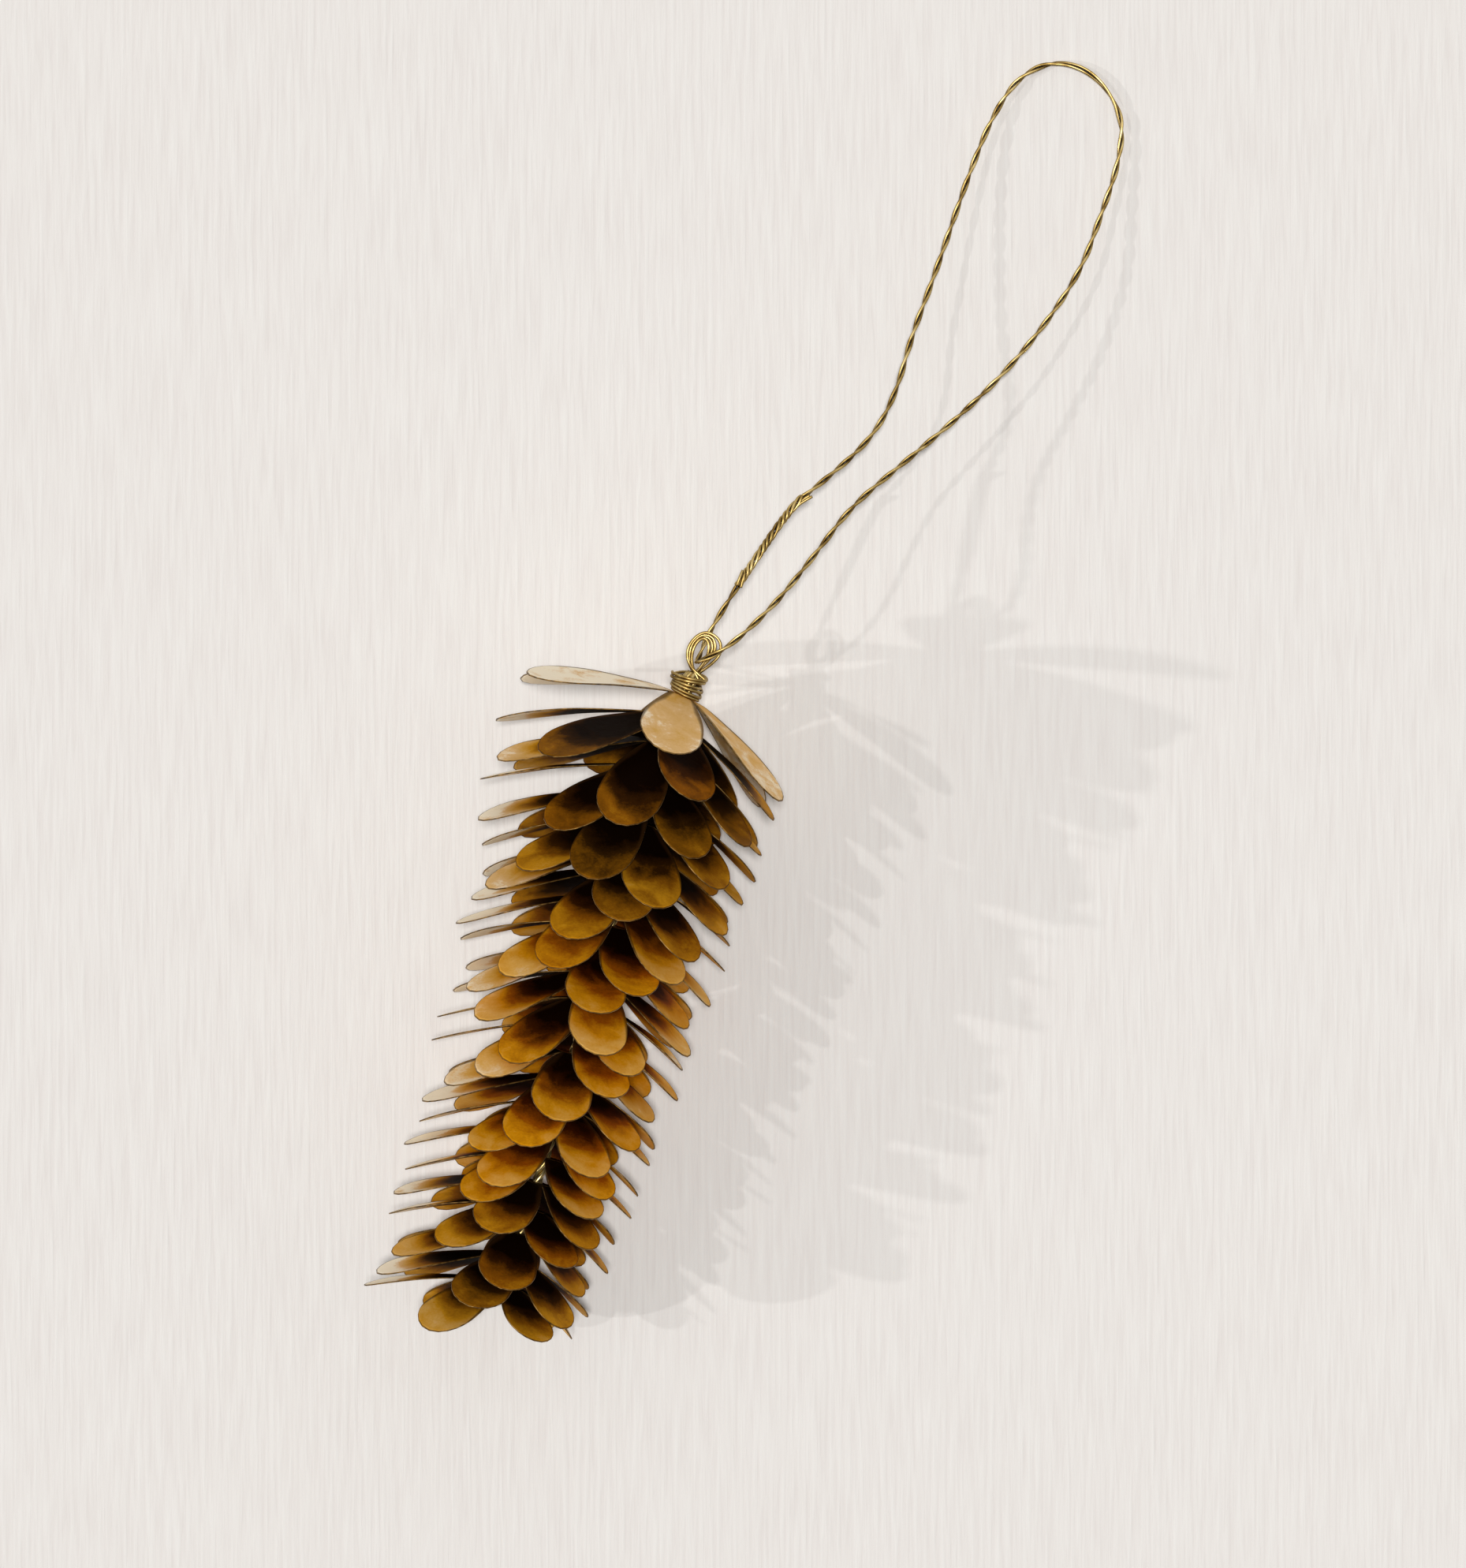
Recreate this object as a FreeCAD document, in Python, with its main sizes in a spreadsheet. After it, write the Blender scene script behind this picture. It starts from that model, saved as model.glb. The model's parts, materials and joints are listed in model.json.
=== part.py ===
import FreeCAD, Part
import math
import os
from FreeCAD import Placement, Rotation, Vector

# Brass pine cone ornament, lying on its side as it rests on a flat board.
# +X is to the right and +Y towards the hanger, as seen from above. The board is z = 0.
# The origin is on the board, under the middle of the ornament. Millimetres and degrees.

doc = FreeCAD.newDocument("PineConeOrnament")

# Driving dimensions

SIZES = [
    ("whorl_count", 24),
    ("petals_per_whorl", 6),
    ("whorl_pitch", 5.53),
    ("first_whorl", 4.5),
    ("petal_length_top", 34.8),
    ("petal_length_middle", 28.6),
    ("petal_length_bottom", 24.5),
    ("petal_length_spread", 0.9),
    ("petal_side_top", 0.09),
    ("petal_side_bottom", 0.20),
    ("petal_width_top", 13.4),
    ("petal_width_bottom", 12.0),
    ("petal_widest_share", 0.70),
    ("petal_droop", 20.0),
    ("petal_droop_spread", 2.0),
    ("petal_droop_front", 10.0),
    ("petal_droop_under", 9.0),
    ("petal_lift_top_left", 9.0),
    ("petal_lift_top_front", 9.0),
    ("petal_curl", 7.0),
    ("petal_curl_share", 0.5),
    ("sheet_thickness", 0.25),
    ("hub_apothem", 3.6),
    ("hub_clearance", 0.05),
    ("core_radius", 1.2),
    ("core_end_radius", 1.75),
    ("core_end_root_radius", 1.08),
    ("core_end_length", 1.8),
    ("core_past_last", 2.6),
    ("neck_radius", 2.5),
    ("neck_length", 4.1),
    ("neck_taper", 2.2),
    ("neck_top_radius", 1.5),
    ("wire_radius", 0.33),
    ("eye_turns", 2),
    ("eye_turn_spacing", 0.72),
    ("eye_turn_fan", 0.07),
    ("wrap_turns", 3.5),
    ("wrap_pitch", 1.0),
    ("wrap_clearance", 0.06),
    ("wrap_margin", 0.4),
    ("hanger_radius", 0.65),
    ("hanger_clearance", 0.28),
    ("splice_radius", 1.0),
    ("splice_lead", 3.0),
]

sheet = doc.addObject("Spreadsheet::Sheet", "Sizes")
for row, (alias, value) in enumerate(SIZES, start=1):
    sheet.set("A%d" % row, alias.replace("_", " "))
    sheet.set("B%d" % row, str(value))
    sheet.setAlias("B%d" % row, alias)
doc.recompute()


def size(alias):
    return float(getattr(sheet, alias))


# Routes chosen by hand

# The core from the neck down to the lower end, a slight S
CORE_ROUTE = [
    (-11.7, 5.1, 29.2),
    (-17.9, -7.3, 28.9),
    (-22.2, -22.8, 28.0),
    (-29.3, -50.5, 26.3),
    (-36.8, -75.8, 25.6),
    (-42.1, -95.4, 25.1),
    (-49.2, -115.7, 24.5),
    (-54.6, -132.1, 24.1),
]

# The front petal of each whorl, turned about the core from straight up: plus is to the right
FRONT_TURNS = [
    3, 20, -5, -32, -14, 17, 3, -16, -22, 18, 2, 10,
    -30, 21, 0, -13, 27, -22, 31, -15, 25, 0, -12, 31,
]

# How much further that petal is bent down than its place alone gives, in degrees
FRONT_LEANS = [
    -6, -8, 0, 0, 5, 2, -2, -1, 5, -6, -5, 1,
    5, -6, -1, 2, 0, 0, -8, -2, -8, 0, -4, -3,
]

# One turn of the eye, across the neck and along it, from the neck round and back
EYE_ROUTE = [
    (-0.8, -1.4),
    (-1.2, 1.3),
    (-3.9, 4.6),
    (-3.2, 8.6),
    (0.2, 11.0),
    (3.5, 8.6),
    (3.6, 4.8),
    (1.4, 1.3),
    (0.8, -1.4),
]

# Where the hanger goes through the eye, across the neck and along it
HANGER_CROSSING = (-0.2, 3.3)

# The hanger from the upper end of its splice, round the far end and back over the eye
HANGER_OUT = [
    (11.4, 42.4, 20.0),
    (19.6, 48.9, 17.4),
    (26.7, 56.1, 14.6),
    (31.1, 64.9, 12.1),
    (34.1, 76.0, 9.6),
    (38.5, 87.7, 7.1),
    (42.7, 99.9, 4.8),
    (46.9, 112.0, 2.9),
    (51.2, 122.6, 1.6),
    (56.7, 131.1, 0.9),
    (64.7, 134.6, 0.7),
    (73.0, 131.6, 0.7),
    (78.8, 122.7, 0.7),
    (77.6, 112.4, 1.4),
    (73.6, 101.0, 3.0),
    (69.8, 90.6, 4.9),
    (62.9, 79.9, 7.2),
    (53.6, 68.6, 10.1),
    (43.2, 58.7, 13.2),
    (32.3, 49.6, 16.6),
    (21.5, 40.6, 20.2),
    (13.7, 30.1, 23.3),
    (5.5, 19.9, 27.7),
    (-4.2, 10.9, 31.1),
]

# And from under the eye up to the lower end of the splice
HANGER_BACK = [
    (-8.3, 13.7, 27.0),
    (-4.4, 20.2, 25.9),
    (-2.0, 24.0, 25.0),
]


def rounded_wire(points, share=0.45, name=""):
    """Straight runs joined by tangent arcs, each as large as its two runs allow."""
    edges, start, radii = [], points[0], []
    for before, corner, after in zip(points, points[1:], points[2:]):
        into, out = (corner - before), (after - corner)
        run = min(into.Length, out.Length)
        into.normalize()
        out.normalize()
        turn = into.getAngle(out)
        back = share * run
        radii.append(back / math.tan(turn / 2))
        arc_start, arc_end = corner - into * back, corner + out * back
        towards = (out - into).normalize()
        centre = corner + towards * (back / math.sin(turn / 2))
        middle = centre - towards * radii[-1]
        if (arc_start - start).Length > 1e-4:
            edges.append(Part.LineSegment(start, arc_start).toShape())
        edges.append(Part.Arc(arc_start, middle, arc_end).toShape())
        start = arc_end
    edges.append(Part.LineSegment(start, points[-1]).toShape())
    wire = Part.Wire(edges)
    print("%-12s length %.1f, radii %s" % (name, wire.Length, ", ".join("%.1f" % r for r in radii)))
    return wire


def along(wire, distance):
    """The point and the direction at a distance along a wire."""
    for edge in wire.Edges:
        if distance <= edge.Length:
            break
        distance -= edge.Length
    parameter = edge.getParameterByLength(min(distance, edge.Length))
    direction = Vector(edge.tangentAt(parameter))
    return edge.valueAt(parameter), direction.normalize()


def frame_at(wire, distance):
    """Where a piece sits on the core: its z along the core towards the hanger, its x upwards."""
    point, down = along(wire, distance)
    z_axis = down * -1
    x_axis = (Vector(0, 0, 1) - z_axis * z_axis.z).normalize()
    return Placement(point, Rotation(x_axis, z_axis.cross(x_axis), z_axis, "XZY"))


def part_feature(name, shape, placement=None):
    item = doc.addObject("Part::Feature", name)
    item.Shape = shape
    if placement:
        item.Placement = placement
    return item


def tube(name, wire, alias):
    """A round wire swept along its route, with its radius tied to the sheet."""
    route = part_feature(name + "_route", wire)
    start, direction = along(wire, 0)
    ring = doc.addObject("Part::Circle", name + "_section")
    ring.setExpression("Radius", "Sizes." + alias)
    ring.Placement = Placement(start, Rotation(Vector(0, 0, 1), direction))
    sweep = doc.addObject("Part::Sweep", name)
    sweep.Sections = [ring]
    sweep.Spine = (route, ["Edge%d" % (i + 1) for i in range(len(wire.Edges))])
    sweep.Solid = True
    sweep.Frenet = False
    return sweep


# Whorls: each is one stamped sheet, a six-sided hub with its petals folded down

def spread(whorl, petal):
    """An even scatter between -1 and 1 that is the same each time."""
    return math.sin(12.99 * whorl + 78.23 * petal + 1.7)


def share_down(whorl):
    return whorl / max(size("whorl_count") - 1, 1)


def petal_length(whorl, petal, rightward):
    """The length falls off down the cone, and more on its right side than on its left."""
    top, middle, bottom = size("petal_length_top"), size("petal_length_middle"), size("petal_length_bottom")
    down = share_down(whorl)
    length = top * (1 - down) * (1 - 2 * down) + 4 * middle * down * (1 - down) + bottom * down * (2 * down - 1)
    side = size("petal_side_top") + (size("petal_side_bottom") - size("petal_side_top")) * down**2
    return length * (1 - side * rightward) + size("petal_length_spread") * spread(petal, whorl)


def petal_width(whorl):
    top, bottom = size("petal_width_top"), size("petal_width_bottom")
    return top + (bottom - top) * share_down(whorl)


def half_width(share, width):
    """Half the petal's width at a share of its length: a narrow root and a broad round tip."""
    root = size("hub_apothem") * math.tan(math.pi / size("petals_per_whorl"))
    widest = size("petal_widest_share")
    if share <= widest:
        return root + (width / 2 - root) * math.sin(math.pi / 2 * share / widest)
    return width / 2 * math.sqrt(max(0.0, 1 - ((share - widest) / (1 - widest)) ** 2))


def petal_outline(length, width):
    """One half of the outline as distances out from the core and half widths."""
    root, widest = size("hub_apothem"), size("petal_widest_share")
    shares = [0.0, 0.5 * widest, widest]
    shares += [widest + (1 - widest) * math.sin(math.radians(a)) for a in (42, 68, 90)]
    return [(root + s * (length - root), half_width(s, width)) for s in shares]


def curl_fall(reach, length):
    """How far the outer part of a petal falls below its own straight line."""
    root = size("hub_apothem")
    fold = root + size("petal_curl_share") * (length - root)
    return max(0.0, reach - fold) * math.tan(math.radians(size("petal_curl")))


def petal_place(droop, turn):
    """Folds a petal down about the upper edge of its side of the hub, and turns it about the core."""
    fold = Vector(size("hub_apothem"), 0, size("sheet_thickness"))
    folded = Placement(Vector(), Rotation(Vector(0, 1, 0), droop), fold)
    return Placement(Vector(), Rotation(Vector(0, 0, 1), turn)).multiply(folded)


def petal_lowest(placement, length, width, droop, turn):
    """The height of a petal's lowest point above the board."""
    whole = placement.multiply(petal_place(droop, turn))
    return min(
        whole.multVec(Vector(reach, side * half, face - curl_fall(reach, length))).z
        for reach, half in petal_outline(length, width)
        for side in (-1, 1)
        for face in (0, size("sheet_thickness"))
    )


def petal_droop(placement, length, width, whorl, petal, turn):
    """The petal's fold, more on the front and the underside than at the sides. One that would reach
    below the board is pressed further down against it."""
    upward = math.cos(math.radians(turn))
    droop = size("petal_droop") + size("petal_droop_spread") * spread(whorl, petal)
    droop += size("petal_droop_front") * max(0.0, upward) + size("petal_droop_under") * max(0.0, -upward)
    if whorl == 0:
        droop -= size("petal_lift_top_left") * max(0.0, -math.sin(math.radians(turn)))
        droop -= size("petal_lift_top_front") * max(0.0, upward)
    if petal == 0:
        droop += FRONT_LEANS[whorl % len(FRONT_LEANS)]
    if petal_lowest(placement, length, width, droop, turn) >= 0:
        return droop
    pressed, halvings = 80.0, 30
    for _ in range(halvings):
        middle = (droop + pressed) / 2
        if petal_lowest(placement, length, width, middle, turn) >= 0:
            pressed = middle
        else:
            droop = middle
    return pressed


def petal_shape(length, width, droop, turn):
    """A bent strip of sheet, cut to the petal's outline and folded down at the hub's edge."""
    sheet_thickness, root = size("sheet_thickness"), size("hub_apothem")
    curl = root + size("petal_curl_share") * (length - root)
    fall, spare = curl_fall(length, length), 1.0
    upper = [Vector(root, 0, 0), Vector(curl, 0, 0), Vector(length, 0, -fall)]
    side = upper + [point + Vector(0, 0, sheet_thickness) for point in reversed(upper)]
    strip = Part.Face(Part.makePolygon(side + side[:1])).extrude(Vector(0, width + 2 * spare, 0))
    strip.translate(Vector(0, -width / 2 - spare, 0))
    below = -fall - spare
    half = petal_outline(length, width)[:-1]
    ring = [Vector(reach, y, below) for reach, y in half] + [Vector(length, 0, below)]
    ring += [Vector(reach, -y, below) for reach, y in reversed(half)]
    cutter = Part.Face(Part.makePolygon(ring + ring[:1])).extrude(Vector(0, 0, fall + 3 * spare))
    petal = strip.common(cutter)
    petal.Placement = petal_place(droop, turn)
    return petal


def hub_shape():
    """The flat middle of a whorl, with the hole that it is threaded by."""
    count = int(size("petals_per_whorl"))
    corner = size("hub_apothem") / math.cos(math.pi / count)
    angles = [math.pi / count * (2 * i + 1) for i in range(count)]
    ring = [Vector(corner * math.cos(a), corner * math.sin(a), 0) for a in angles]
    thick = size("sheet_thickness")
    plate = Part.Face(Part.makePolygon(ring + ring[:1])).extrude(Vector(0, 0, thick))
    hole = Part.makeCylinder(size("core_radius") + size("hub_clearance"), 3 * thick, Vector(0, 0, -thick))
    return plate.cut(hole)


def whorl_shape(whorl, placement):
    width, count = petal_width(whorl), int(size("petals_per_whorl"))
    first = FRONT_TURNS[whorl % len(FRONT_TURNS)]
    petals, plate_turn = [], Rotation(Vector(0, 0, 1), first)
    for petal in range(count):
        turn = first + petal * 360.0 / count
        length = petal_length(whorl, petal, math.sin(math.radians(turn)))
        droop = petal_droop(placement, length, width, whorl, petal, turn)
        petals.append(petal_shape(length, width, droop, turn))
    plate = hub_shape()
    plate.Placement = Placement(Vector(), plate_turn)
    return plate.multiFuse(petals).removeSplitter()


core_top_to_end = size("first_whorl") + size("whorl_pitch") * (size("whorl_count") - 1) + size("core_past_last")
core_route = rounded_wire([Vector(*p) for p in CORE_ROUTE], name="core")
pieces = {}
for whorl in range(int(size("whorl_count"))):
    seat = frame_at(core_route, size("first_whorl") + whorl * size("whorl_pitch"))
    name = "whorl_%02d" % (whorl + 1)
    pieces[name] = part_feature(name, whorl_shape(whorl, seat), seat)

# Core: the twisted strands that the whorls are threaded on, gathered at the neck, and the eye

core_edges, left = [], core_top_to_end
for edge in core_route.Edges:
    if left <= 0:
        break
    if edge.Length <= left:
        core_edges.append(edge)
    else:
        end = edge.getParameterByLength(left)
        core_edges.append(edge.Curve.toShape(edge.FirstParameter, end))
    left -= edge.Length
core_path = Part.Wire(core_edges)
stem = tube("core_stem", core_path, "core_radius")

neck_seat = frame_at(core_route, 0)

neck_bundle = doc.addObject("Part::Cylinder", "neck_bundle")
neck_bundle.setExpression("Radius", "Sizes.neck_radius")
neck_bundle.setExpression("Height", "Sizes.neck_length")
neck_bundle.Placement = frame_at(core_route, size("neck_length"))

neck_cone = doc.addObject("Part::Cone", "neck_cone")
neck_cone.setExpression("Radius1", "Sizes.neck_radius")
neck_cone.setExpression("Radius2", "Sizes.neck_top_radius")
neck_cone.setExpression("Height", "Sizes.neck_taper")
neck_cone.Placement = frame_at(core_route, size("neck_length")).multiply(
    Placement(Vector(0, 0, size("neck_length")), Rotation())
)

core_end = doc.addObject("Part::Cone", "core_end")
core_end.setExpression("Radius1", "Sizes.core_end_radius")
core_end.setExpression("Radius2", "Sizes.core_end_root_radius")
core_end.setExpression("Height", "Sizes.core_end_length")
core_end.Placement = frame_at(core_route, core_top_to_end)

eye_turns = []
for turn in range(int(size("eye_turns"))):
    lift = (turn - (size("eye_turns") - 1) / 2) * size("eye_turn_spacing")
    fan = (0.5 - turn) * size("eye_turn_fan")
    corners = [Vector(lift, across + fan * max(0.0, out - 1), out) for across, out in EYE_ROUTE]
    corners = [neck_seat.multVec(c) for c in corners]
    eye_turns.append(tube("eye_turn_%d" % (turn + 1), rounded_wire(corners, name="eye"), "wire_radius"))

core_wire = doc.addObject("Part::MultiFuse", "core_wire")
core_wire.Shapes = [stem, neck_bundle, neck_cone, core_end] + eye_turns
pieces["core_wire"] = core_wire

# Neck wrap: the turns of wire wound round the gathered strands

wrap_radius = size("neck_radius") + size("wrap_clearance") + size("wire_radius")
corners_per_turn = 6
wrap_corners = []
for step in range(int(size("wrap_turns") * corners_per_turn) + 1):
    angle = 2 * math.pi * step / corners_per_turn
    radius = wrap_radius / math.cos(math.pi / corners_per_turn)
    rise = size("wrap_margin") + size("wrap_pitch") * step / corners_per_turn
    wrap_corners.append(Vector(radius * math.cos(angle), radius * math.sin(angle), rise - size("neck_length")))
wrap_corners = [neck_seat.multVec(c) for c in wrap_corners]
pieces["neck_wrap"] = tube("neck_wrap", rounded_wire(wrap_corners, 0.499, "wrap"), "wire_radius")

# Hanger: one long loop through the eye, spliced where its two ends meet

eye_half = (size("eye_turns") - 1) / 2 * size("eye_turn_spacing") + size("wire_radius")
over = eye_half + size("hanger_clearance") + size("hanger_radius")
across, out = HANGER_CROSSING
through = [neck_seat.multVec(Vector(0, across, out)) + Vector(0, 0, step) for step in (over, -over)]
hanger_points = [Vector(*p) for p in HANGER_OUT] + through + [Vector(*p) for p in HANGER_BACK]
hanger_route = rounded_wire(hanger_points, name="hanger")
pieces["hanger_wire"] = tube("hanger_wire", hanger_route, "hanger_radius")

lower_end, upper_end, lead = hanger_points[-1], hanger_points[0], size("splice_lead")
splice_points = [
    lower_end,
    lower_end + (lower_end - hanger_points[-2]).normalize() * lead,
    upper_end - (hanger_points[1] - upper_end).normalize() * lead,
    upper_end,
]
splice_route = rounded_wire(splice_points, name="splice")
pieces["hanger_splice"] = tube("hanger_splice", splice_route, "splice_radius")

doc.recompute()
for item in doc.Objects:
    if "Invalid" in item.State or "Error" in item.State:
        raise RuntimeError("%s failed: %s" % (item.Name, item.State))

os.makedirs("parts", exist_ok=True)
for name, item in pieces.items():
    item.Label = name
    if item.Shape.isNull() or not item.Shape.isValid() or not item.Shape.Solids:
        raise RuntimeError(name + " is not a valid solid")
    item.Shape.exportStep("parts/%s.step" % name)

box = Part.makeCompound([item.Shape for item in pieces.values()]).BoundBox
print("box x %.1f %.1f  y %.1f %.1f  z %.2f %.2f" % (box.XMin, box.XMax, box.YMin, box.YMax, box.ZMin, box.ZMax))
for name in ("core_wire", "neck_wrap", "hanger_wire", "hanger_splice"):
    print(name, "solids", len(pieces[name].Shape.Solids), "volume %.2f" % pieces[name].Shape.Volume)
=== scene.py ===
import json
import math

import bpy
import numpy as np
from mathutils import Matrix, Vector

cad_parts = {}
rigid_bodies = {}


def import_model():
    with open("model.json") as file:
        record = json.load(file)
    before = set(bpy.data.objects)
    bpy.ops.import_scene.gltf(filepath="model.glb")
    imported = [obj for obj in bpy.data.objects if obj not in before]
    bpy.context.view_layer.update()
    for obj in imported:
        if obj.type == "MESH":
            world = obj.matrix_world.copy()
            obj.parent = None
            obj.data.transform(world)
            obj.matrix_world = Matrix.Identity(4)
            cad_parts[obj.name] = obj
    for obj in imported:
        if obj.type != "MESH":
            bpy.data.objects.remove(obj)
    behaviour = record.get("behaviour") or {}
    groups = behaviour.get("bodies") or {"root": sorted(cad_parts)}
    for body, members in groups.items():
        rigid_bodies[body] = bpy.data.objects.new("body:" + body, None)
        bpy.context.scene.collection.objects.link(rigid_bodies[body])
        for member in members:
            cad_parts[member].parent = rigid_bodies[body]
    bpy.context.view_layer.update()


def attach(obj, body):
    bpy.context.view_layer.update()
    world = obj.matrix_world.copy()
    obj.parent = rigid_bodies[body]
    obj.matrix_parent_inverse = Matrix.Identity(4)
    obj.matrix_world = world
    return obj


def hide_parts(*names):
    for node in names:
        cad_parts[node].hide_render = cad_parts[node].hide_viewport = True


# Brass pine cone ornament on a flat white board, seen from straight above, with its petals drooping
# away from the hanger. Lengths here are in millimetres and become metres when a mesh is made.

for thing in list(bpy.data.objects):
    bpy.data.objects.remove(thing)
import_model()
scene = bpy.context.scene
scene.view_settings.view_transform = "Standard"

# Core: three brass wires laid up by hand into one thin rod, which every rosette is threaded on. It
# shows as pale twisted wire where the petals part, and is cut off just below the last rosette.

MILLIMETRE = 0.001
CORE_ROUTE = [
    (-11.7, 5.1, 29.2), (-17.9, -7.3, 28.9), (-22.2, -22.8, 28.0), (-29.3, -50.5, 26.3),
    (-36.8, -75.8, 25.6), (-42.1, -95.4, 25.1), (-49.2, -115.7, 24.5), (-54.6, -132.1, 24.1),
]
CORE_LENGTH = 134.3
CORE_STRANDS = 3
CORE_STRAND_RADIUS = 0.53
CORE_LAY = 9.0
CORE_STEP = 0.5
WIRE_SIDES = 12
NOT_ALONG_A_WIRE = (0.1, 0.2, 1.0)
SHORTEST = 1e-6


def smooth_route(corners, per_corner=80):
    """A curve that leaves each run at its middle and turns within the corner: a parabola from the
    middle of one run to the middle of the next, weights (1-t)^2, 2t(1-t) and t^2."""
    corners = np.array(corners, float)
    middles = (corners[:-1] + corners[1:]) / 2
    starts = np.vstack([corners[:1], middles[1:-1]])
    ends = np.vstack([middles[1:-1], corners[-1:]])
    t = np.linspace(0, 1, per_corner, endpoint=False)[None, :, None]
    bends = (1 - t) ** 2 * starts[:, None] + 2 * t * (1 - t) * corners[1:-1][:, None] + t**2 * ends[:, None]
    return np.vstack([bends.reshape(-1, 3), corners[-1:]])


def evenly(route, step):
    """The route again with its points the same distance apart, and each point's distance along it."""
    gaps = np.linalg.norm(np.diff(route, axis=0), axis=1)
    run = np.concatenate([[0], np.cumsum(gaps)])
    wanted = np.linspace(0, run[-1], max(3, int(run[-1] / step) + 1))
    return np.stack([np.interp(wanted, run, route[:, k]) for k in range(3)], 1), wanted


def carried_frames(path):
    """Two directions square to the path at each point, carried along it without turning round it:
    each takes the one before, less its share along the path."""
    ahead = np.gradient(path, axis=0)
    ahead /= np.linalg.norm(ahead, axis=1)[:, None]
    side = np.cross(ahead[0], NOT_ALONG_A_WIRE)
    sides = []
    for forward in ahead:
        side = side - forward * (side @ forward)
        side = side / np.linalg.norm(side)
        sides.append(side)
    sides = np.array(sides)
    return sides, np.cross(ahead, sides)


def laid_strand(path, offset, angle):
    """A strand that circles the path: offset times (cosine, sine) of its angle in the carried frame."""
    side, other = carried_frames(path)
    return path + offset * (side * np.cos(angle)[:, None] + other * np.sin(angle)[:, None])


def tube_grid(path, radius):
    """A ring of points round each point of the path: the radius times (cosine, sine)."""
    side, other = carried_frames(path)
    turn = np.linspace(0, 2 * math.pi, WIRE_SIDES, endpoint=False)
    ring = side[:, None] * np.cos(turn)[None, :, None] + other[:, None] * np.sin(turn)[None, :, None]
    return path[:, None] + radius * ring


def grid_faces(rows, columns, first, round_it):
    """The four corners of each cell of a grid, counted along its rows. A tube's rows join up."""
    across = np.arange(columns if round_it else columns - 1)
    row, column = np.meshgrid(np.arange(rows - 1), across, indexing="ij")
    here = row * columns + column
    beside = row * columns + (column + 1) % columns
    return (first + np.stack([here, beside, beside + columns, here + columns], -1).reshape(-1, 4)).tolist()


def new_piece(name, points, faces, material):
    """Makes a mesh in metres, shades it smooth and puts it in the scene."""
    mesh = bpy.data.meshes.new(name)
    mesh.from_pydata((np.asarray(points) * MILLIMETRE).tolist(), [], faces)
    mesh.polygons.foreach_set("use_smooth", [True] * len(mesh.polygons))
    mesh.materials.append(material)
    mesh.update()
    piece = bpy.data.objects.new(name, mesh)
    scene.collection.objects.link(piece)
    return piece


def wire_piece(name, strands, material):
    """Each strand is (path, radius) or (path, radius, middle of its bundle): a closed tube with a flat
    cut face at both ends. Its groove attribute is the cosine of the angle to the bundle's middle, which
    the material turns into painted shade where the wires face each other."""
    points, faces, grooves = [], [], []
    for path, radius, *middle in strands:
        grid = tube_grid(path, radius)
        inward = middle[0] - path if middle else np.zeros_like(path)
        inward /= np.maximum(np.linalg.norm(inward, axis=1), SHORTEST)[:, None]
        grooves.append(np.einsum("ijk,ik->ij", grid - path[:, None], inward).ravel() / radius)
        rows, columns = grid.shape[:2]
        faces += grid_faces(rows, columns, len(points), True)
        last = len(points) + (rows - 1) * columns
        faces.append(list(range(len(points) + columns - 1, len(points) - 1, -1)))
        faces.append(list(range(last, last + columns)))
        points += grid.reshape(-1, 3).tolist()
    piece = new_piece(name, points, faces, material)
    groove = piece.data.attributes.new("groove", "FLOAT", "POINT")
    groove.data.foreach_set("value", np.concatenate(grooves))
    return piece


def linear(hex_colour):
    """An sRGB hex colour as linear red, green, blue and a full alpha: a straight line near black, and
    above it a power of 2.4."""
    parts = [int(hex_colour[i:i + 2], 16) / 255 for i in (1, 3, 5)]
    return [p / 12.92 if p <= 0.04045 else ((p + 0.055) / 1.055) ** 2.4 for p in parts] + [1]


def node(tree, kind, links=None, values=None, stops=(), **settings):
    """Adds one node, sets what it is given, and links its inputs from other nodes' outputs. Stops are
    the places and colours of a colour ramp."""
    made = tree.nodes.new(kind)
    for setting, value in settings.items():
        setattr(made, setting, value)
    for socket, value in (values or {}).items():
        made.inputs[socket].default_value = value
    for socket, source in (links or {}).items():
        tree.links.new(source, made.inputs[socket])
    while stops and len(made.color_ramp.elements) < len(stops):
        made.color_ramp.elements.new(0.5)
    for number, stop in enumerate(stops):
        made.color_ramp.elements[number].position = stop[0]
    for number, stop in enumerate(stops):
        made.color_ramp.elements[number].color = linear(stop[1])
    return made


# Drawn brass wire, half hard and lacquered long ago. The eye gets a soft gloss along its length, brown
# tarnish that comes and goes every few millimetres, and painted shade: a dark line where two wires lie
# together. The Mix node's colour sockets go by number, because it has several of each name.
TARNISH_PATCH = 3.0
MIX_FACTOR, MIX_A, MIX_B, MIX_RESULT = 0, 6, 7, 2
wire_brass = bpy.data.materials.new("drawn_brass_wire")
wire_brass.use_nodes = True
tree = wire_brass.node_tree
shader = tree.nodes["Principled BSDF"]
shader.inputs["Metallic"].default_value = 1.0
place = node(tree, "ShaderNodeTexCoord").outputs["Object"]
patches = node(tree, "ShaderNodeTexNoise", {"Vector": place}, {"Scale": 1000 / TARNISH_PATCH, "Detail": 3.0})
tarnish = node(tree, "ShaderNodeValToRGB", {"Fac": patches.outputs["Fac"]},
               stops=[(0.3, "#705628"), (0.48, "#A88E54"), (0.7, "#D2BA80")])
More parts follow.
